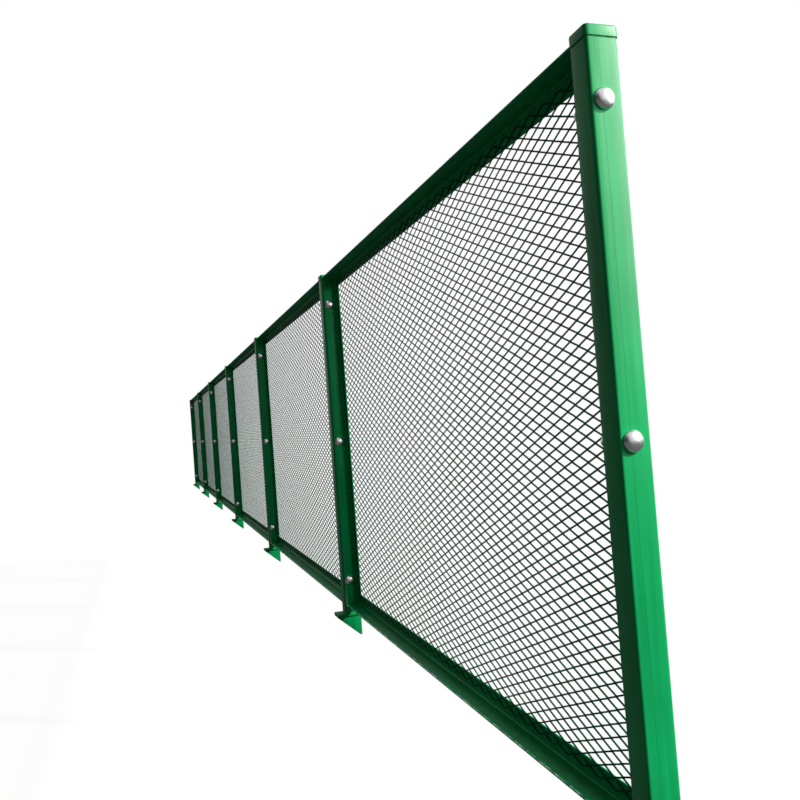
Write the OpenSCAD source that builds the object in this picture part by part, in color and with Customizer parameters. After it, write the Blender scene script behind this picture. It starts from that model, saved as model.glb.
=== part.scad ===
// Anti-glare screen: a run of mesh panels bolted between posts on cantilever brackets.
// X runs along the screen, +Y goes back through the mesh to the structure that carries it,
// and +Z is up. The origin is the centre of the rear face of the middle bracket.

/* [Run] */
// Number of panels; there is one post more
bays = 6; // [2:2:8]
// Distance between post centres
post_pitch = 2000; // [1200:10:2600]

/* [Post] */
// Post size along the screen
post_width = 50; // [40:1:80]
// Post size across the screen
post_depth = 60; // [50:1:90]
// Tube wall
post_wall = 3; // [2:0.5:4]
// Outer corner radius of the tube
post_corner = 6; // [5:0.5:8]
// Post length from its seat up to the cap
post_length = 1365; // [900:1:1900]
// Room between the post and the structure behind it
post_setback = 4; // [0:1:20]

/* [Cap] */
// Depth of the cap's skirt, measured down from the top of the post
cap_skirt = 18; // [8:1:30]
// Sheet thickness of the cap
cap_sheet = 1.5; // [1:0.1:2]
// Clearance between the skirt and the tube
cap_fit = 0.5; // [0.3:0.1:1]

/* [Panel frame] */
// Height of the angle frame
frame_height = 1323; // [900:1:1800]
// Gap from the post's seat up to the frame
frame_lift = 33; // [15:1:80]
// Leg of the angle that stands out toward the front
frame_depth = 55; // [45:1:80]
// Leg of the angle that lies in the plane of the mesh
frame_leg = 43; // [30:1:60]
// Thickness of the angle
frame_wall = 4; // [3:0.5:6]
// Gap between the frame and a post, filled by spacer washers at the bolts
frame_gap = 3; // [3:0.5:8]

/* [Mesh] */
// Thickness of the expanded metal sheet over its tilted strands
mesh_thick = 3; // [2:0.5:5]
// Width of the sheet's edge that lies on the frame
mesh_lap = 25; // [15:1:28]

/* [Bolts] */
// Bolt diameter
bolt_d = 16; // [12:1:20]
// Clearance added to the bolt diameter for its holes
bolt_clear = 2; // [1:0.5:3]
// Diameter of the mushroom head
head_d = 37; // [30:1:46]
// Height of the mushroom head
head_h = 12; // [8:1:14]
// Diameter of the spacer washers between frame and post
spacer_d = 36; // [28:1:44]
// Diameter of the washer under the nut
washer_d = 30; // [26:1:40]
// Thickness of the washer under the nut
washer_h = 3; // [2:0.5:4]
// Nut size across flats
nut_flats = 24; // [18:1:30]
// Height of the nut's hexagon
nut_h = 13; // [8:1:16]
// Diameter of the dome that closes the nut
nut_dome_d = 22; // [16:1:28]
// Distance from the frame's top edge down to the top bolt
bolt_top = 113; // [60:1:200]
// Distance from the frame's bottom edge up to the bottom bolt
bolt_bottom = 100; // [60:1:200]
// How far the bolts stand in front of the post's centre line
bolt_forward = 5; // [0:1:5]
// Bolts in the post at the +X end, counted from the top; the others have three
end_post_bolts = 2; // [1:1:3]

/* [Bracket] */
// Height of the back plate and webs
bracket_height = 90; // [80:1:160]
// Plate thickness of seat, back plate and webs
bracket_plate = 8; // [6:1:12]
// How far the seat runs on in front of the post
seat_front = 33; // [15:1:60]
// How far the seat runs on beside the post
seat_side = 7; // [4:1:15]
// Height of the web's blunt tip below the seat
web_tip = 4; // [2:1:10]
// Fixing hole diameter
fixing_d = 14; // [9:1:16]
// Distance between the two fixing holes
fixing_spacing = 42; // [30:1:46]

/* [Hidden] */
$fn = 64;
post_x = [for (i = [0 : bays]) (i - floor(bays / 2)) * post_pitch];
seat_z = bracket_height / 2;
post_y = -post_setback - post_depth / 2;
frame_length = post_pitch - post_width - 2 * frame_gap;
frame_z = seat_z + frame_lift;
bolt_low = frame_z + bolt_bottom;
bolt_high = frame_z + frame_height - bolt_top;
bolt_z = [bolt_high, (bolt_low + bolt_high) / 2, bolt_low];
bolt_hole_d = bolt_d + bolt_clear;
bolt_y = post_y - bolt_forward;
leg_stack = frame_gap + frame_wall;
through = 1;
names = [for (i = [1 : bays + 1]) str(i)];

// A rectangle centred on the origin with round corners: two bars and four corner circles.
module round_rect(x, y, r) {
    square([x - 2 * r, y], center = true);
    square([x, y - 2 * r], center = true);
    for (sx = [-1, 1], sy = [-1, 1])
        translate([sx * (x / 2 - r), sy * (y / 2 - r)]) circle(r);
}

// The heights of the bolts in post i.
function bolt_rows(i) = [for (row = [0 : (i == bays ? end_post_bolts : 3) - 1]) bolt_z[row]];

// Cylinders along X at the bolt heights of post i, for the holes that the bolts pass through.
module bolt_holes(i) {
    for (z = bolt_rows(i))
        translate([post_x[i], bolt_y, z]) rotate([0, 90, 0])
            cylinder(d = bolt_hole_d, h = post_width + 2 * (leg_stack + through), center = true);
}

// Welded cantilever bracket: seat plate, back plate with two fixing holes, and two webs.
module bracket(i) {
    reach = post_setback + post_depth + seat_front;
    web_drop = bracket_height - bracket_plate;
    color("seagreen") translate([post_x[i], 0, 0]) difference() {
        union() {
            translate([-post_width / 2 - seat_side, -reach, seat_z - bracket_plate])
                cube([post_width + 2 * seat_side, reach, bracket_plate]);
            translate([-post_width / 2, -bracket_plate, -bracket_height / 2])
                cube([post_width, bracket_plate, bracket_height]);
            for (side = [0, 1])
                translate([side * (post_width - bracket_plate) - post_width / 2, 0, seat_z - bracket_plate])
                    rotate([90, 0, 90]) linear_extrude(bracket_plate)
                        polygon([[0, 0], [-reach, 0], [-reach, -web_tip],
                                 [-bracket_plate, -web_drop], [0, -web_drop]]);
        }
        for (sz = [-1, 1])
            translate([0, through, sz * fixing_spacing / 2 - bracket_plate / 2])
                rotate([90, 0, 0]) cylinder(d = fixing_d, h = bracket_plate + 2 * through);
    }
}

// Rectangular tube, drilled right through along X for its bolts.
module post(i) {
    inner_corner = max(post_corner - post_wall, 1);
    color("green") difference() {
        translate([post_x[i], post_y, seat_z]) linear_extrude(post_length) difference() {
            round_rect(post_width, post_depth, post_corner);
            round_rect(post_width - 2 * post_wall, post_depth - 2 * post_wall, inner_corner);
        }
        bolt_holes(i);
    }
}

// Pressed cap that sits on the tube's end, with a skirt round it.
module cap(i) {
    side = cap_fit + cap_sheet;
    color("green") translate([post_x[i], post_y, seat_z + post_length - cap_skirt]) difference() {
        linear_extrude(cap_skirt + cap_sheet)
            round_rect(post_width + 2 * side, post_depth + 2 * side, post_corner + side);
        translate([0, 0, -through]) linear_extrude(cap_skirt + through)
            round_rect(post_width + 2 * cap_fit, post_depth + 2 * cap_fit, post_corner + cap_fit);
    }
}

// Half outline of a mushroom head with a round back: a slice of a ball of the right radius.
module dome_outline(d, h) {
    ball = (d * d / 4 + h * h) / (2 * h);
    intersection() {
        translate([0, h - ball]) circle(ball, $fn = 128);
        square([d / 2, h]);
    }
}

// One through bolt with head, spacers, washer and domed nut.
// near_leg and far_leg say whether a frame is bolted on at the +X and the -X side.
module bolt(near_leg, far_leg) {
    near = post_width / 2 + (near_leg ? leg_stack : 0);
    far = -post_width / 2 - (far_leg ? leg_stack : 0);
    nut_x = far - washer_h - nut_h;
    rotate([0, 90, 0]) {
        translate([0, 0, near]) rotate_extrude() dome_outline(head_d, head_h);
        translate([0, 0, nut_x]) cylinder(d = bolt_d, h = near - nut_x);
        translate([0, 0, far - washer_h]) cylinder(d = washer_d, h = washer_h);
        translate([0, 0, nut_x]) cylinder(d = nut_flats / cos(30), h = nut_h, $fn = 6);
        translate([0, 0, nut_x]) sphere(d = nut_dome_d);
        if (near_leg) translate([0, 0, post_width / 2]) cylinder(d = spacer_d, h = frame_gap);
        if (far_leg) translate([0, 0, -post_width / 2 - frame_gap]) cylinder(d = spacer_d, h = frame_gap);
    }
}

// The bolts of one post.
module bolts(i) {
    color("silver") for (z = bolt_rows(i))
        translate([post_x[i], bolt_y, z]) bolt(near_leg = i < bays, far_leg = i > 0);
}

// Angle frame of one bay: a shallow tray that is open to the front, with its window cut out.
module frame(i) {
    front = -post_setback - frame_depth;
    centre_x = (post_x[i] + post_x[i + 1]) / 2;
    color("darkgreen") difference() {
        translate([centre_x - frame_length / 2, front, frame_z]) difference() {
            cube([frame_length, frame_depth, frame_height]);
            translate([frame_wall, -through, frame_wall])
                cube([frame_length - 2 * frame_wall, frame_depth - frame_wall + through,
                      frame_height - 2 * frame_wall]);
            translate([frame_leg, 0, frame_leg])
                cube([frame_length - 2 * frame_leg, frame_depth + through, frame_height - 2 * frame_leg]);
        }
        bolt_holes(i);
        bolt_holes(i + 1);
    }
}

// Expanded metal sheet, as one plain sheet that lies on the front of the frame's in-plane leg.
module mesh_sheet(i) {
    inset = frame_leg - mesh_lap;
    centre_x = (post_x[i] + post_x[i + 1]) / 2;
    color("forestgreen")
        translate([centre_x - frame_length / 2 + inset, -post_setback - frame_wall - mesh_thick,
                   frame_z + inset])
            cube([frame_length - 2 * inset, mesh_thick, frame_height - 2 * inset]);
}

for (i = [0 : bays]) {
    bracket(i);
    post(i);
    cap(i);
    bolts(i);
}
for (i = [0 : bays - 1]) {
    frame(i);
    mesh_sheet(i);
}
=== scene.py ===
# A roadside anti-glare screen: six panels of expanded metal in angle frames, bolted between
# seven rectangular posts that stand on short cantilever brackets. It is steel, coated green.
# X runs along the screen, +Y goes back through the mesh to the wall that carries it, +Z is up.
import math

import bpy
from mathutils import Matrix, Vector


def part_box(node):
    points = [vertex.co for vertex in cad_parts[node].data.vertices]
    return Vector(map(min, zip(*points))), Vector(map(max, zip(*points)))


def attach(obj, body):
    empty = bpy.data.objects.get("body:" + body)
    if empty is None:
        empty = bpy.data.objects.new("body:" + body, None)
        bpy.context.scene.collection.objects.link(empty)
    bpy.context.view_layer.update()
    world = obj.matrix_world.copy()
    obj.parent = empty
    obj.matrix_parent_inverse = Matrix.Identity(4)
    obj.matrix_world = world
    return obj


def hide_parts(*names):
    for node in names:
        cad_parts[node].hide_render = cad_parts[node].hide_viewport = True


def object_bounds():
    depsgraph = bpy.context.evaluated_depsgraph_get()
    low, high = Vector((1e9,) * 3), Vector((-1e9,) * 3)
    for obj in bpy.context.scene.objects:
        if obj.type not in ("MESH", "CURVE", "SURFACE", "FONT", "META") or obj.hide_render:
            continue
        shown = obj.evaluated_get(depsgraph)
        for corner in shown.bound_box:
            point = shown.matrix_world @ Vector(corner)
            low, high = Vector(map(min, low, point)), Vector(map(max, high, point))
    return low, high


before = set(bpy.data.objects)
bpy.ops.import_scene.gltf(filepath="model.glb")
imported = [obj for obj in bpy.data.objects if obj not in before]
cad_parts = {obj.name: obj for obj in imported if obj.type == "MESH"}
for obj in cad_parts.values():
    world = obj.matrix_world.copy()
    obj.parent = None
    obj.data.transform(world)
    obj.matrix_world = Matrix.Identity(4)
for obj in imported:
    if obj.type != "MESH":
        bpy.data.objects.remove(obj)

cad_box = [list(corner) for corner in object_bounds()]
POSTS = sum(name.startswith("post_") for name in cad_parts)
BAYS = POSTS - 1


# ---------------------------------------------------------------------------------------------
# Camera. It stands in front of the near end, a little over half way up the posts, and looks
# along the screen toward its far end, tilted as a hand holds it.
near_low, near_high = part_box(f"post_{POSTS}")
near_post = (near_low + near_high) / 2
EYE_PAST_POST = Vector((1.096, -0.742, 0.064))
EYE_AHEAD = Vector((-0.9497, 0.3119, 0.0285))
EYE_RIGHT = Vector((0.3091, 0.9480, -0.0757))
EYE_LENS = 35.1

ahead = EYE_AHEAD.normalized()
right = (EYE_RIGHT - ahead * EYE_RIGHT.dot(ahead)).normalized()
turn = Matrix((right, right.cross(ahead), -ahead)).transposed()
bpy.ops.object.camera_add(location=near_post + EYE_PAST_POST, rotation=turn.to_euler())
camera = bpy.context.object
camera.data.sensor_width = 36
camera.data.lens = EYE_LENS
camera.data.clip_end = 300
bpy.context.scene.camera = camera
bpy.context.scene.view_settings.view_transform = "Standard"


# ---------------------------------------------------------------------------------------------
# Light and floor. The sun stands high behind the screen, past its near end, so that the front
# lies in open shade. A softbox adds the sheen on the near end post. Reflections see a dark sky
# in front of the screen and a bright one behind it. The floor is pale.
FLOOR_DROP = 1.1
SKY_FILL = 0.12
SKY_MIRRORED = (0.05, 0.95)
FLOOR_GREY = 0.07
FLOOR_SEEN = 0.94
FLOOR_MIRRORED = 0.08
SUN_FROM = Vector((0.48, 0.68, 0.55))
SUN_STRENGTH = 4.6
SOFTBOX_FROM_POST = Vector((1.1, 1.5, 0.9))
SOFTBOX_TILT = Vector((1.1, 1.5, 0.7))
SOFTBOX_SIZE = 1.0
SOFTBOX_WATTS = 36

bpy.ops.object.light_add(type="SUN", location=(8, 4, 9))
sun = bpy.context.object
sun.data.energy = SUN_STRENGTH
sun.data.angle = math.radians(3)
sun.data.color = (1.0, 0.98, 0.94)
sun.rotation_euler = SUN_FROM.to_track_quat("Z", "Y").to_euler()

bpy.ops.object.light_add(type="AREA", location=near_post + SOFTBOX_FROM_POST)
softbox = bpy.context.object
softbox.data.size = SOFTBOX_SIZE
softbox.data.energy = SOFTBOX_WATTS
softbox.rotation_euler = SOFTBOX_TILT.to_track_quat("Z", "Y").to_euler()

world = bpy.data.worlds.new("studio sky")
bpy.context.scene.world = world
world.use_nodes = True
nodes, links = world.node_tree.nodes, world.node_tree.links
path = nodes.new("ShaderNodeLightPath")
seen = nodes.new("ShaderNodeMath")
seen.operation = "MAXIMUM"
links.new(path.outputs["Is Camera Ray"], seen.inputs[0])
links.new(path.outputs["Is Transmission Ray"], seen.inputs[1])
way = nodes.new("ShaderNodeVectorMath")
way.operation = "DOT_PRODUCT"
way.inputs[1].default_value = (0, 0.95, 0.3)
links.new(nodes.new("ShaderNodeTexCoord").outputs["Generated"], way.inputs[0])
side = nodes.new("ShaderNodeMapRange")
side.inputs["From Min"].default_value = -0.5
side.inputs["From Max"].default_value = 0.0
side.inputs["To Min"].default_value = SKY_MIRRORED[0]
side.inputs["To Max"].default_value = SKY_MIRRORED[1]
links.new(way.outputs["Value"], side.inputs["Value"])
mirrored = nodes.new("ShaderNodeMix")
mirrored.inputs["A"].default_value = SKY_FILL
links.new(path.outputs["Is Glossy Ray"], mirrored.inputs["Factor"])
links.new(side.outputs[0], mirrored.inputs["B"])
strength = nodes.new("ShaderNodeMix")
strength.inputs["B"].default_value = 1.0
links.new(seen.outputs[0], strength.inputs["Factor"])
links.new(mirrored.outputs[0], strength.inputs["A"])
background = nodes["Background"]
background.inputs["Color"].default_value = (1, 1, 1, 1)
links.new(strength.outputs[0], background.inputs["Strength"])

bpy.ops.object.select_all(action="DESELECT")
bpy.ops.mesh.primitive_plane_add(size=80, location=(0, 0, cad_box[0][2] - FLOOR_DROP))
floor = bpy.context.object
floor.name = "studio_floor"
floor_paint = bpy.data.materials.new("studio floor")
floor_paint.use_nodes = True
nodes, links = floor_paint.node_tree.nodes, floor_paint.node_tree.links
path = nodes.new("ShaderNodeLightPath")
mirrored = nodes.new("ShaderNodeMapRange")
mirrored.inputs["To Max"].default_value = FLOOR_MIRRORED
links.new(path.outputs["Is Glossy Ray"], mirrored.inputs["Value"])
glow = nodes.new("ShaderNodeMix")
glow.inputs["B"].default_value = FLOOR_SEEN
links.new(path.outputs["Is Camera Ray"], glow.inputs["Factor"])
links.new(mirrored.outputs[0], glow.inputs["A"])
surface = nodes["Principled BSDF"]
surface.inputs["Base Color"].default_value = (FLOOR_GREY, FLOOR_GREY, FLOOR_GREY, 1)
surface.inputs["Roughness"].default_value = 1.0
surface.inputs["Specular IOR Level"].default_value = 0.0
surface.inputs["Emission Color"].default_value = (1, 1, 1, 1)
links.new(glow.outputs[0], surface.inputs["Emission Strength"])
floor.data.materials.append(floor_paint)


# ---------------------------------------------------------------------------------------------
# Posts. Cold-formed rectangular tube with round corners and one welded seam down its +X face,
# drilled right through for its bolts, and powder coated a clear mid green.
TUBE_WALL = 0.003
TUBE_CORNER = 0.006
SEAM_FROM_CENTRE = -0.007
SEAM_WIDTH = 0.0016
SEAM_PROUD = 0.00015
HOLE_RADIUS = 0.009
RIPPLE = 0.004
RIPPLE_WAIST = 0.8
BEAD_TAPER = 0.45
PAINT = (0.003, 0.40, 0.115)
PAINT_DEEP = (0.001, 0.27, 0.075)
CHIP_GREY = (0.42, 0.52, 0.46)


def start_clean():
    """Leaves edit mode and selects nothing."""
    if bpy.context.object and bpy.context.object.mode != "OBJECT":
        bpy.ops.object.mode_set(mode="OBJECT")
    bpy.ops.object.select_all(action="DESELECT")


def pick(piece, kind, test):
    """Selects the faces, edges or vertices of a piece that pass a test.

    The test gets a place and a direction: a face's centre and normal, an edge's middle and run,
    or a vertex's place and normal."""
    bpy.ops.object.mode_set(mode="EDIT")
    bpy.ops.mesh.select_mode(type=kind)
    bpy.ops.mesh.select_all(action="DESELECT")
    bpy.ops.object.mode_set(mode="OBJECT")
    mesh = piece.data
    if kind == "FACE":
        for face in mesh.polygons:
            face.select = test(face.center, face.normal)
    elif kind == "EDGE":
        for edge in mesh.edges:
            a, b = (mesh.vertices[v].co for v in edge.vertices)
            edge.select = test((a + b) / 2, (b - a).normalized())
    else:
        for vertex in mesh.vertices:
            vertex.select = test(vertex.co, vertex.normal)
    bpy.ops.object.mode_set(mode="EDIT")


def block(name, low, high):
    """A box between two corners, as a new piece whose mesh holds its place."""
    start_clean()
    bpy.ops.mesh.primitive_cube_add(size=1, location=(low + high) / 2)
    piece = bpy.context.object
    piece.name = name
    piece.scale = high - low
    bpy.ops.object.transform_apply(location=True, rotation=True, scale=True)
    return piece


def finish_with(piece, kind, **settings):
    """Adds one modifier to the piece and applies it."""
    start_clean()
    piece.select_set(True)
    bpy.context.view_layer.objects.active = piece
    bpy.ops.object.modifier_add(type=kind)
    modifier = piece.modifiers[-1]
    for key, value in settings.items():
        setattr(modifier, key, value)
    bpy.ops.object.modifier_apply(modifier=modifier.name)


def smooth(piece, degrees=35):
    """Smooth shading, with edges sharper than the angle kept crisp."""
    start_clean()
    piece.select_set(True)
    bpy.context.view_layer.objects.active = piece
    bpy.ops.object.shade_smooth_by_angle(angle=math.radians(degrees))


def copy_along(piece, name, shift, rise=0.0):
    """A copy with its own mesh, moved along the screen and up."""
    copy = piece.copy()
    copy.data = piece.data.copy()
    copy.name = copy.data.name = name
    bpy.context.scene.collection.objects.link(copy)
    copy.data.transform(Matrix.Translation((shift, 0, rise)))
    return copy


def join(name, pieces):
    """Joins pieces into the first one."""
    start_clean()
    for piece in pieces:
        piece.select_set(True)
    bpy.context.view_layer.objects.active = pieces[0]
    bpy.ops.object.join()
    pieces[0].name = pieces[0].data.name = name
    return pieces[0]


def weld_bead(name, start, end, radius):
    """A rippled bead between two points, with a tapered end at each."""
    run = end - start
    start_clean()
    bpy.ops.mesh.primitive_cylinder_add(vertices=8, radius=radius, depth=run.length, location=(0, 0, 0))
    bead = bpy.context.object
    bead.name = name
    pick(bead, "EDGE", lambda at, along: abs(along.z) > 0.99)
    rings = 2 * max(2, round(run.length / RIPPLE / 2)) - 1
    bpy.ops.mesh.subdivide(number_cuts=rings)
    step = run.length / (rings + 1)
    pick(bead, "VERT", lambda at, normal: round((at.z + run.length / 2) / step) % 2 == 1)
    bpy.ops.transform.resize(value=(RIPPLE_WAIST, RIPPLE_WAIST, 1))
    pick(bead, "VERT", lambda at, normal: abs(at.z) > run.length / 2 - step / 2)
    bpy.ops.transform.resize(value=(BEAD_TAPER, BEAD_TAPER, 1))
    start_clean()
    lean = run.to_track_quat("Z", "Y").to_matrix().to_4x4()
    bead.data.transform(Matrix.Translation((start + end) / 2) @ lean)
    smooth(bead, 60)
    return bead


def dress(piece, node, material):
    """Gives the piece its material, says what it rides on, and hides the CAD part it stands for."""
    piece.data.materials.clear()
    piece.data.materials.append(material)
    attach(piece, "root")
    if node:
        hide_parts(node)


def coated_steel(name, light, deep, chips, chip_front, chip_reach, roughness, sheen=0.15):
    """Green powder coat: slow colour drift, dust streaks that run down, orange peel and small chips.

    The chips lie within chip_reach of the front edge at chip_front, and thin out above the bottom rail."""
    material = bpy.data.materials.new(name)
    material.use_nodes = True
    nodes, links = material.node_tree.nodes, material.node_tree.links
    surface = nodes["Principled BSDF"]
    place = nodes.new("ShaderNodeTexCoord").outputs["Object"]

    drift = nodes.new("ShaderNodeTexNoise")
    drift.inputs["Scale"].default_value = 3.5
    drift.inputs["Detail"].default_value = 5
    links.new(place, drift.inputs["Vector"])
    stretch = nodes.new("ShaderNodeMapping")
    stretch.inputs["Scale"].default_value = (60, 60, 2.5)
    links.new(place, stretch.inputs["Vector"])
    streak = nodes.new("ShaderNodeTexNoise")
    streak.inputs["Scale"].default_value = 1.0
    streak.inputs["Detail"].default_value = 3
    links.new(stretch.outputs[0], streak.inputs["Vector"])
    blend = nodes.new("ShaderNodeMath")
    blend.operation = "ADD"
    links.new(drift.outputs["Fac"], blend.inputs[0])
    links.new(streak.outputs["Fac"], blend.inputs[1])
    span = nodes.new("ShaderNodeMapRange")
    span.inputs["From Min"].default_value = 0.75
    span.inputs["From Max"].default_value = 1.25
    links.new(blend.outputs[0], span.inputs["Value"])
    tone = nodes.new("ShaderNodeMix")
    tone.data_type = "RGBA"
    tone.inputs["A"].default_value = (*deep, 1)
    tone.inputs["B"].default_value = (*light, 1)
    links.new(span.outputs[0], tone.inputs["Factor"])

    speck = nodes.new("ShaderNodeTexNoise")
    speck.inputs["Scale"].default_value = 170
    speck.inputs["Detail"].default_value = 4
    speck.inputs["Roughness"].default_value = 0.7
    links.new(place, speck.inputs["Vector"])
    patch = nodes.new("ShaderNodeTexNoise")
    patch.inputs["Scale"].default_value = 14
    links.new(place, patch.inputs["Vector"])
    apart = nodes.new("ShaderNodeSeparateXYZ")
    links.new(place, apart.inputs[0])
    front = nodes.new("ShaderNodeMapRange")
    front.inputs["From Min"].default_value = chip_front + chip_reach
    front.inputs["From Max"].default_value = chip_front
    front.inputs["To Min"].default_value = 0.0
    front.inputs["To Max"].default_value = chips
    links.new(apart.outputs["Y"], front.inputs["Value"])
    low = nodes.new("ShaderNodeMapRange")
    low.inputs["From Min"].default_value = cad_box[0][2] + 0.30
    low.inputs["From Max"].default_value = cad_box[0][2] + 0.15
    low.inputs["To Min"].default_value = 0.45
    links.new(apart.outputs["Z"], low.inputs["Value"])
    worst = nodes.new("ShaderNodeMath")
    worst.operation = "MULTIPLY"
    links.new(front.outputs[0], worst.inputs[0])
    links.new(low.outputs[0], worst.inputs[1])
    likely = nodes.new("ShaderNodeMath")
    likely.operation = "MULTIPLY_ADD"
    likely.inputs[1].default_value = 0.35
    links.new(patch.outputs["Fac"], likely.inputs[0])
    links.new(worst.outputs[0], likely.inputs[2])
    total = nodes.new("ShaderNodeMath")
    total.operation = "ADD"
    links.new(speck.outputs["Fac"], total.inputs[0])
    links.new(likely.outputs[0], total.inputs[1])
    chip = nodes.new("ShaderNodeMapRange")
    chip.inputs["From Min"].default_value = 0.985
    chip.inputs["From Max"].default_value = 1.0
    links.new(total.outputs[0], chip.inputs["Value"])
    worn = nodes.new("ShaderNodeMix")
    worn.data_type = "RGBA"
    worn.inputs["B"].default_value = (*CHIP_GREY, 1)
    links.new(chip.outputs[0], worn.inputs["Factor"])
    links.new(tone.outputs["Result"], worn.inputs["A"])
    links.new(worn.outputs["Result"], surface.inputs["Base Color"])

    gloss = nodes.new("ShaderNodeMapRange")
    gloss.inputs["To Min"].default_value = roughness - 0.06
    gloss.inputs["To Max"].default_value = roughness + 0.1
    links.new(streak.outputs["Fac"], gloss.inputs["Value"])
    links.new(gloss.outputs[0], surface.inputs["Roughness"])
    surface.inputs["Specular IOR Level"].default_value = sheen

    peel = nodes.new("ShaderNodeTexNoise")
    peel.inputs["Scale"].default_value = 420
    peel.inputs["Detail"].default_value = 2
    links.new(place, peel.inputs["Vector"])
    height = nodes.new("ShaderNodeMath")
    height.operation = "SUBTRACT"
    links.new(peel.outputs["Fac"], height.inputs[0])
    links.new(chip.outputs[0], height.inputs[1])
    bump = nodes.new("ShaderNodeBump")
    bump.inputs["Strength"].default_value = 0.25
    bump.inputs["Distance"].default_value = 0.0002
    links.new(height.outputs[0], bump.inputs["Height"])
    links.new(bump.outputs[0], surface.inputs["Normal"])
    return material


post_low, post_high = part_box("post_1")
post_paint = coated_steel("post powder coat", PAINT, PAINT_DEEP, 0.10, post_low.y, 0.004, 0.36, 0.25)
post = block("post_tube_1", post_low, post_high)
pick(post, "EDGE", lambda at, along: abs(along.z) > 0.9)
bpy.ops.mesh.bevel(offset=TUBE_CORNER, segments=6, profile=0.5)
pick(post, "FACE", lambda at, normal: abs(normal.z) > 0.9)
bpy.ops.mesh.delete(type="FACE")
pick(post, "FACE", lambda at, normal: normal.x > 0.99)
seam_y = (post_low.y + post_high.y) / 2 + SEAM_FROM_CENTRE
for side in (-1, 1):
    bpy.ops.mesh.select_all(action="SELECT")
    bpy.ops.mesh.bisect(plane_co=(0, seam_y + side * SEAM_WIDTH / 2, 0), plane_no=(0, 1, 0))
finish_with(post, "SOLIDIFY", thickness=TUBE_WALL, offset=-1, use_even_offset=True)
pick(post, "FACE", lambda at, normal: normal.x > 0.99 and at.x > post_high.x - 0.001
     and abs(at.y - seam_y) < SEAM_WIDTH / 2)
bpy.ops.mesh.extrude_region_move(TRANSFORM_OT_translate={"value": (SEAM_PROUD, 0, 0)})
start_clean()

bolt_low, bolt_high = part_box("bolts_1")
head_radius = (bolt_high.y - bolt_low.y) / 2
bolt_y = (bolt_high.y + bolt_low.y) / 2
bolt_rows = [bolt_high.z - head_radius, (bolt_low.z + bolt_high.z) / 2, bolt_low.z + head_radius]


def rows_of(i):
    """The heights of post i's bolts. The near end post has lost its lowest one."""
    return [z for z in bolt_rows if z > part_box(f"bolts_{i}")[0].z]


def drill(piece, x_from, x_to, rows):
    """Drills bolt holes through a piece, along X."""
    for z in rows:
        start_clean()
        bpy.ops.mesh.primitive_cylinder_add(vertices=32, radius=HOLE_RADIUS, depth=x_to - x_from,
                                            location=((x_from + x_to) / 2, bolt_y, z),
                                            rotation=(0, math.pi / 2, 0))
        drill_bit = bpy.context.object
        finish_with(piece, "BOOLEAN", operation="DIFFERENCE", solver="EXACT", object=drill_bit)
        bpy.data.objects.remove(drill_bit)


for i in range(POSTS, 0, -1):
    low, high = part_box(f"post_{i}")
    tube = copy_along(post, f"post_tube_{i}", low.x - post_low.x) if i > 1 else post
    drill(tube, low.x - 0.01, high.x + 0.01, rows_of(i))
    smooth(tube)
    dress(tube, f"post_{i}", post_paint)


# ---------------------------------------------------------------------------------------------
# Caps. Each one is pressed from thin sheet: a shallow lid with a rounded shoulder and a skirt
# that slips over the post, coated together with it.
CAP_SHEET = 0.0015
CAP_SHOULDER = 0.0035

cap_low, cap_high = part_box("cap_1")
cap = block("cap_lid_1", cap_low, cap_high)
pick(cap, "EDGE", lambda at, along: abs(along.z) > 0.9)
bpy.ops.mesh.bevel(offset=TUBE_CORNER + (cap_high.x - post_high.x), segments=6, profile=0.5)
pick(cap, "FACE", lambda at, normal: normal.z > 0.9)
bpy.ops.mesh.bevel(offset=CAP_SHOULDER, segments=4, profile=0.5, affect="EDGES")
pick(cap, "FACE", lambda at, normal: normal.z < -0.9)
bpy.ops.mesh.delete(type="FACE")
finish_with(cap, "SOLIDIFY", thickness=CAP_SHEET, offset=-1, use_even_offset=True)
smooth(cap, 50)
for i in range(2, POSTS + 1):
    lid = copy_along(cap, f"cap_lid_{i}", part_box(f"cap_{i}")[0].x - cap_low.x)
    dress(lid, f"cap_{i}", post_paint)
dress(cap, "cap_1", post_paint)


# ---------------------------------------------------------------------------------------------
# Panel frames. Rolled steel angle with a rounded root and rounded toes, mitred and welded at
# the corners into a shallow tray. Its front edges are chipped where it was handled.
ANGLE_WALL = 0.004
ANGLE_LEG = 0.043
ANGLE_ROOT = 0.0045
ANGLE_TOE = 0.0014
CORNER_WELD = 0.0022
NEAR = 1e-4

frame_low, frame_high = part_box("frame_1")
frame_paint = coated_steel("frame powder coat", PAINT, PAINT_DEEP, 0.34, frame_low.y, 0.012, 0.33, 0.08)
panel = block("angle_frame_1", frame_low, frame_high)
pick(panel, "FACE", lambda at, normal: normal.y < -0.9)
bpy.ops.mesh.delete(type="FACE")
pick(panel, "FACE", lambda at, normal: normal.y > 0.9)
bpy.ops.mesh.inset(thickness=ANGLE_LEG, depth=0)
bpy.ops.mesh.delete(type="FACE")
finish_with(panel, "SOLIDIFY", thickness=ANGLE_WALL, offset=-1, use_even_offset=True)


def root_edge(at, along):
    """The inner corner of the angle, where its two legs meet."""
    inside = (abs(at.x - frame_low.x - ANGLE_WALL) < NEAR or abs(at.x - frame_high.x + ANGLE_WALL) < NEAR
              or abs(at.z - frame_low.z - ANGLE_WALL) < NEAR or abs(at.z - frame_high.z + ANGLE_WALL) < NEAR)
    return inside and abs(along.y) < 0.1 and abs(at.y - frame_high.y + ANGLE_WALL) < NEAR


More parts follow.
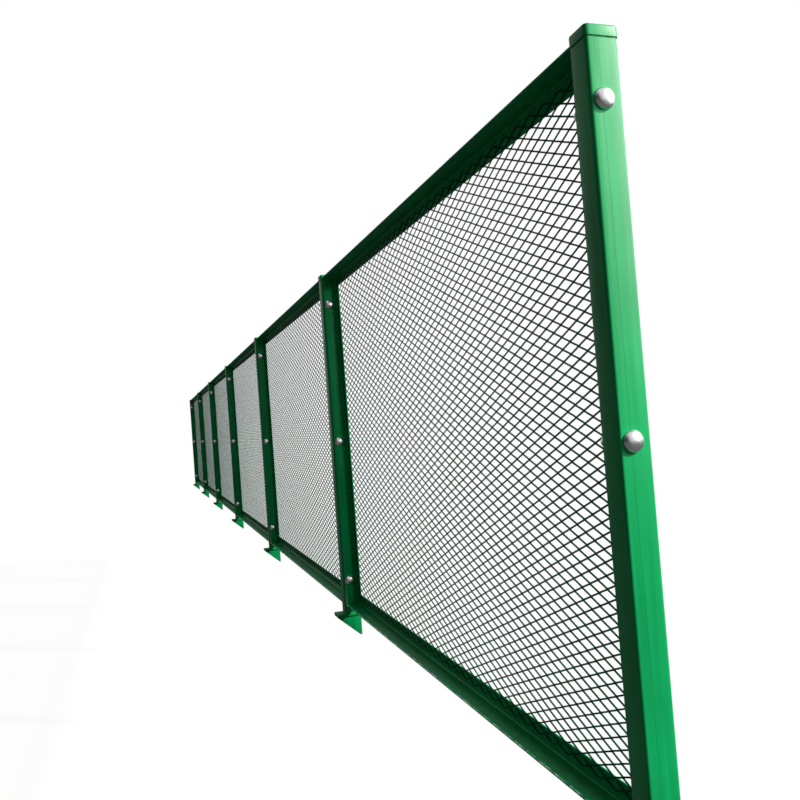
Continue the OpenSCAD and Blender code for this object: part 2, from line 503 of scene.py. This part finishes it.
def toe_edge(at, along):
    """The edges of the front rim and of the window."""
    front = abs(at.y - frame_low.y) < NEAR
    window = (frame_low.x + ANGLE_LEG - NEAR < at.x < frame_high.x - ANGLE_LEG + NEAR
              and frame_low.z + ANGLE_LEG - NEAR < at.z < frame_high.z - ANGLE_LEG + NEAR)
    return abs(along.y) < 0.1 and (front or window) and max(abs(along.x), abs(along.z)) > 0.99


pick(panel, "EDGE", root_edge)
bpy.ops.mesh.bevel(offset=ANGLE_ROOT, segments=4, profile=0.5)
pick(panel, "EDGE", toe_edge)
bpy.ops.mesh.bevel(offset=ANGLE_TOE, segments=2, profile=0.5)
start_clean()
for i in range(BAYS, 0, -1):
    low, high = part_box(f"frame_{i}")
    bay = copy_along(panel, f"angle_frame_{i}", low.x - frame_low.x) if i > 1 else panel
    drill(bay, low.x - 0.01, low.x + 0.02, rows_of(i))
    drill(bay, high.x - 0.02, high.x + 0.01, rows_of(i + 1))
    smooth(bay)
    dress(bay, f"frame_{i}", frame_paint)

corner_welds = []
leg_face = frame_high.y - ANGLE_WALL
for x, inward in ((frame_low.x, 1), (frame_high.x, -1)):
    for z, upward in ((frame_low.z, 1), (frame_high.z, -1)):
        root = Vector((x + inward * ANGLE_ROOT * 1.8, leg_face, z + upward * ANGLE_ROOT * 1.8))
        toe = Vector((x + inward * ANGLE_LEG, leg_face, z + upward * ANGLE_LEG))
        mouth = Vector((x + inward * ANGLE_WALL, frame_low.y + 0.003, z + upward * ANGLE_WALL))
        corner = Vector((x + inward * ANGLE_WALL, leg_face, z + upward * ANGLE_WALL))
        corner_welds += [weld_bead("mitre_weld", root, toe, CORNER_WELD / 2),
                         weld_bead("corner_weld", mouth, corner, CORNER_WELD)]
corner_weld = join("corner_welds_1", corner_welds)
for i in range(BAYS, 0, -1):
    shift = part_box(f"frame_{i}")[0].x - frame_low.x
    bead = copy_along(corner_weld, f"corner_welds_{i}", shift) if i > 1 else corner_weld
    dress(bead, None, frame_paint)


# ---------------------------------------------------------------------------------------------
# Expanded metal. One sheet is slit and pulled open into diamonds, so its strands are tilted,
# and each knot is one strand's upper edge and another's lower edge. Its green is painted far
# darker than the frame's, as painted shade on strands that turn their shaded side to the camera,
# and it is tacked to the frame at every second knot along its border.
DIAMONDS_LONG = 33
DIAMONDS_HIGH = 54
STRAND_WIDTH = 0.0028
STRAND_THICK = 0.0020
STRAND_TILT = 0.0005
KNOT_GROWTH = 0.0005
TACK_RADIUS = 0.0026
TACK_PROUD = 0.0002
# The mesh colours are painted shade: much darker than the frame's green, for strands seen from their shaded
# side.
MESH_PAINTED_SHADE = (0.001, 0.12, 0.055)
MESH_DEEP_PAINTED_SHADE = (0.0005, 0.070, 0.034)

mesh_low, mesh_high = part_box("mesh_1")
# This material carries painted shade in its darkened green.
mesh_painted_shade = coated_steel("mesh coating with painted shade", MESH_PAINTED_SHADE, MESH_DEEP_PAINTED_SHADE, 0.0, mesh_low.y - 1, 0.001, 0.45, 0.05)
start_clean()
bpy.ops.mesh.primitive_grid_add(x_subdivisions=DIAMONDS_LONG, y_subdivisions=DIAMONDS_HIGH, size=1,
                                location=(mesh_low + mesh_high) / 2, rotation=(math.pi / 2, 0, 0))
sheet = bpy.context.object
sheet.name = "expanded_mesh_1"
sheet.scale = (mesh_high.x - mesh_low.x, mesh_high.z - mesh_low.z, 1)
bpy.ops.object.transform_apply(location=True, rotation=True, scale=True)
bpy.ops.object.mode_set(mode="EDIT")
bpy.ops.mesh.select_all(action="SELECT")
bpy.ops.mesh.poke()


def inside_sheet(at):
    """True off the four borders of the sheet."""
    return mesh_low.x + NEAR < at.x < mesh_high.x - NEAR and mesh_low.z + NEAR < at.z < mesh_high.z - NEAR


pick(sheet, "EDGE", lambda at, along: max(abs(along.x), abs(along.z)) > 0.999 and inside_sheet(at))
bpy.ops.mesh.dissolve_edges(use_verts=False)
bpy.ops.mesh.select_all(action="SELECT")
bpy.ops.mesh.inset(thickness=STRAND_WIDTH / 2, depth=0, use_individual=True)
bpy.ops.object.mode_set(mode="OBJECT")
upper_tips, lower_tips = set(), set()
for face in sheet.data.polygons:
    if face.select:
        corners = sorted(face.vertices, key=lambda v: sheet.data.vertices[v].co.z)
        heights = [sheet.data.vertices[v].co.z for v in corners]
        if heights[1] - heights[0] > 0.001:
            lower_tips.add(corners[0])
        if heights[-1] - heights[-2] > 0.001:
            upper_tips.add(corners[-1])
bpy.ops.object.mode_set(mode="EDIT")
bpy.ops.mesh.delete(type="FACE")
for tips, way in ((upper_tips, -1), (lower_tips, 1)):
    bpy.ops.mesh.select_mode(type="VERT")
    bpy.ops.mesh.select_all(action="DESELECT")
    bpy.ops.object.mode_set(mode="OBJECT")
    for v in tips:
        sheet.data.vertices[v].select = True
    bpy.ops.object.mode_set(mode="EDIT")
    bpy.ops.transform.translate(value=(0, way * STRAND_TILT, way * KNOT_GROWTH))


def border_strip(at, normal):
    """The strips along the sheet's border, where the real sheet was cut through its strands."""
    edge = STRAND_WIDTH * 0.6
    return (at.x < mesh_low.x + edge or at.x > mesh_high.x - edge
            or at.z < mesh_low.z + edge or at.z > mesh_high.z - edge)


pick(sheet, "FACE", border_strip)
bpy.ops.mesh.delete(type="FACE")
finish_with(sheet, "SOLIDIFY", thickness=STRAND_THICK, offset=0, use_even_offset=False)
for i in range(2, BAYS + 1):
    bay = copy_along(sheet, f"expanded_mesh_{i}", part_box(f"mesh_{i}")[0].x - mesh_low.x)
    dress(bay, f"mesh_{i}", mesh_painted_shade)
dress(sheet, "mesh_1", mesh_painted_shade)

sheet_long, sheet_high = mesh_high.x - mesh_low.x, mesh_high.z - mesh_low.z
diamond = Vector((sheet_long / DIAMONDS_LONG, 0, sheet_high / DIAMONDS_HIGH))
start_clean()
bpy.ops.mesh.primitive_uv_sphere_add(
    segments=8, ring_count=6, radius=TACK_RADIUS, rotation=(math.pi / 2, 0, 0),
    location=(mesh_low.x + diamond.x * 1.5, mesh_high.y - TACK_PROUD, mesh_low.z + diamond.z / 2))
tack = bpy.context.object
tack.name = "mesh_tacks_1"
tack.scale = (1.3, 1, 0.75)
bpy.ops.object.transform_apply(location=True, rotation=True, scale=True)
upright = copy_along(tack, "side_tacks", -diamond.x, diamond.z * 2)
finish_with(tack, "ARRAY", use_relative_offset=False, use_constant_offset=True,
            constant_offset_displace=(diamond.x * 2, 0, 0), count=DIAMONDS_LONG // 2)
finish_with(tack, "ARRAY", use_relative_offset=False, use_constant_offset=True,
            constant_offset_displace=(0, 0, sheet_high - diamond.z), count=2)
finish_with(upright, "ARRAY", use_relative_offset=False, use_constant_offset=True,
            constant_offset_displace=(0, 0, diamond.z * 4), count=DIAMONDS_HIGH // 4)
finish_with(upright, "ARRAY", use_relative_offset=False, use_constant_offset=True,
            constant_offset_displace=(sheet_long - diamond.x, 0, 0), count=2)
tacks = join("mesh_tacks_1", [tack, upright])
smooth(tacks, 60)
for i in range(BAYS, 0, -1):
    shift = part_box(f"mesh_{i}")[0].x - mesh_low.x
    row = copy_along(tacks, f"mesh_tacks_{i}", shift) if i > 1 else tacks
    dress(row, None, frame_paint)


# ---------------------------------------------------------------------------------------------
# Bolts. Mushroom headed through bolts in bright zinc plated steel. Each one passes a spacer
# washer at either side of the post, and ends in a washer and a domed nut on the -X side.
# WASHER and NUT give a radius, over the corners for the nut, and a thickness.
HEAD_HIGH = 0.012
HEAD_RIM = 0.0015
SHANK_RADIUS = 0.008
SPACER_RADIUS = 0.018
WASHER = (0.015, 0.003)
NUT = (0.012 / math.cos(math.pi / 6), 0.013)
NUT_DOME = 0.011
NUT_DOME_RIM = 0.0004
STEEL = (0.78, 0.79, 0.80)

bolt_steel = bpy.data.materials.new("zinc plated steel")
bolt_steel.use_nodes = True
nodes, links = bolt_steel.node_tree.nodes, bolt_steel.node_tree.links
surface = nodes["Principled BSDF"]
surface.inputs["Metallic"].default_value = 1.0
place = nodes.new("ShaderNodeTexCoord").outputs["Object"]
cloud = nodes.new("ShaderNodeTexNoise")
cloud.inputs["Scale"].default_value = 160
cloud.inputs["Detail"].default_value = 4
links.new(place, cloud.inputs["Vector"])
tone = nodes.new("ShaderNodeMix")
tone.data_type = "RGBA"
tone.inputs["A"].default_value = (*(c * 0.72 for c in STEEL), 1)
tone.inputs["B"].default_value = (*STEEL, 1)
links.new(cloud.outputs["Fac"], tone.inputs["Factor"])
links.new(tone.outputs["Result"], surface.inputs["Base Color"])
gloss = nodes.new("ShaderNodeMapRange")
gloss.inputs["To Min"].default_value = 0.22
gloss.inputs["To Max"].default_value = 0.42
links.new(cloud.outputs["Fac"], gloss.inputs["Value"])
links.new(gloss.outputs[0], surface.inputs["Roughness"])
dent = nodes.new("ShaderNodeBump")
dent.inputs["Strength"].default_value = 0.15
dent.inputs["Distance"].default_value = 0.0003
links.new(cloud.outputs["Fac"], dent.inputs["Height"])
links.new(dent.outputs[0], surface.inputs["Normal"])


def turned(name, radius, x_from, x_to, sides=32, edge=0.0004):
    """A round or six-sided disc or bar along X at bolt_y and z 0, with broken edges."""
    start_clean()
    bpy.ops.mesh.primitive_cylinder_add(vertices=sides, radius=radius, depth=x_to - x_from,
                                        location=((x_from + x_to) / 2, bolt_y, 0),
                                        rotation=(0, math.pi / 2, 0))
    piece = bpy.context.object
    piece.name = name
    bpy.ops.object.transform_apply(location=True, rotation=True, scale=True)
    finish_with(piece, "BEVEL", width=edge, segments=2, limit_method="ANGLE", angle_limit=math.radians(50))
    return piece


def dome(name, radius, high, rim, x, way):
    """A round dome on the plane X = x, with a short straight rim below it."""
    start_clean()
    bpy.ops.mesh.primitive_uv_sphere_add(segments=32, ring_count=16, radius=radius, location=(0, 0, 0),
                                         rotation=(0, math.pi / 2, 0))
    piece = bpy.context.object
    piece.name = name
    bpy.ops.object.transform_apply(location=True, rotation=True, scale=True)
    piece.scale = ((high - rim) / radius, 1, 1)
    bpy.ops.object.transform_apply(location=True, rotation=True, scale=True)
    pick(piece, "VERT", lambda at, normal: at.x * way < -1e-6)
    bpy.ops.mesh.delete(type="VERT")
    bpy.ops.mesh.select_all(action="SELECT")
    bpy.ops.transform.translate(value=(x + way * rim, bolt_y, 0))
    bpy.ops.mesh.select_non_manifold()
    bpy.ops.mesh.extrude_region_move(TRANSFORM_OT_translate={"value": (-way * rim, 0, 0)})
    bpy.ops.mesh.edge_face_add()
    bpy.ops.mesh.select_all(action="SELECT")
    bpy.ops.mesh.normals_make_consistent(inside=False)
    start_clean()
    return piece


head = dome("bolt_head", head_radius, HEAD_HIGH, HEAD_RIM, 0, 1)
nut_x = -WASHER[1] - NUT[1]
nut = join("washer_and_nut", [turned("washer", WASHER[0], -WASHER[1], 0),
                              turned("nut", NUT[0], nut_x, -WASHER[1], 6, 0.0008),
                              dome("nut_dome", NUT_DOME, NUT_DOME, NUT_DOME_RIM, nut_x, -1)])
spacer_thick = frame_low.x - post_high.x
spacer = turned("spacer", SPACER_RADIUS, 0, spacer_thick)
for i in range(1, POSTS + 1):
    low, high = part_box(f"bolts_{i}")
    tube_low, tube_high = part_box(f"post_{i}")
    near, far = high.x - HEAD_HIGH, low.x + NUT_DOME - nut_x
    shank = turned("shank", SHANK_RADIUS, far + nut_x, near)
    pieces = []
    for z in rows_of(i):
        pieces += [copy_along(head, "head", near, z), copy_along(nut, "nut", far, z),
                   copy_along(shank, "shank", 0, z)]
        if near - tube_high.x > 0.001:
            pieces.append(copy_along(spacer, "spacer", tube_high.x, z))
        if tube_low.x - far > 0.001:
            pieces.append(copy_along(spacer, "spacer", tube_low.x - spacer_thick, z))
    bpy.data.objects.remove(shank)
    bolts = join(f"through_bolts_{i}", pieces)
    smooth(bolts, 40)
    dress(bolts, f"bolts_{i}", bolt_steel)
for pattern in (head, nut, spacer):
    bpy.data.objects.remove(pattern)


# ---------------------------------------------------------------------------------------------
# Brackets. Seat plate, back plate and two webs, sawn from plate with broken edges and welded up.
# A rippled bead runs round the post's foot, under the seat plate and down the back plate.
PLATE = 0.008
PLATE_EDGE = 0.0012
FOOT_WELD = 0.0028
WELD_STOP = 0.005

bracket_low, bracket_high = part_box("bracket_1")
bracket_paint = coated_steel("bracket powder coat", PAINT, PAINT_DEEP, 0.16, bracket_low.y, 0.01, 0.36)
seat = post_low.z
foot_welds = []
for x in (post_low.x, post_high.x):
    foot_welds.append(weld_bead("foot_weld", Vector((x, post_low.y + TUBE_CORNER / 2, seat)),
                                Vector((x, post_high.y - TUBE_CORNER / 2, seat)), FOOT_WELD))
    foot_welds.append(weld_bead("web_weld", Vector((x, bracket_low.y + WELD_STOP, seat - PLATE)),
                                Vector((x, bracket_high.y - PLATE, seat - PLATE)), FOOT_WELD * 0.7))
for y in (post_low.y, post_high.y):
    foot_welds.append(weld_bead("foot_weld", Vector((post_low.x + TUBE_CORNER / 2, y, seat)),
                                Vector((post_high.x - TUBE_CORNER / 2, y, seat)), FOOT_WELD * 0.9))
for x in (post_low.x + PLATE, post_high.x - PLATE):
    foot_welds.append(weld_bead("web_weld", Vector((x, bracket_high.y - PLATE, bracket_low.z + WELD_STOP)),
                                Vector((x, bracket_high.y - PLATE, seat - PLATE)), FOOT_WELD * 0.7))
foot_weld = join("foot_welds_1", foot_welds)
for i in range(POSTS, 0, -1):
    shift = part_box(f"bracket_{i}")[0].x - bracket_low.x
    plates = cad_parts[f"bracket_{i}"].copy()
    plates.data = plates.data.copy()
    plates.name = plates.data.name = f"bracket_plates_{i}"
    bpy.context.scene.collection.objects.link(plates)
    start_clean()
    plates.select_set(True)
    bpy.context.view_layer.objects.active = plates
    bpy.ops.object.mode_set(mode="EDIT")
    bpy.ops.mesh.select_all(action="SELECT")
    bpy.ops.mesh.remove_doubles(threshold=1e-6)
    bpy.ops.mesh.dissolve_limited(angle_limit=math.radians(1))
    finish_with(plates, "BEVEL", width=PLATE_EDGE, segments=2, limit_method="ANGLE",
                angle_limit=math.radians(40))
    smooth(plates)
    dress(plates, f"bracket_{i}", bracket_paint)
    bead = copy_along(foot_weld, f"foot_welds_{i}", shift) if i > 1 else foot_weld
    dress(bead, None, bracket_paint)

start_clean()
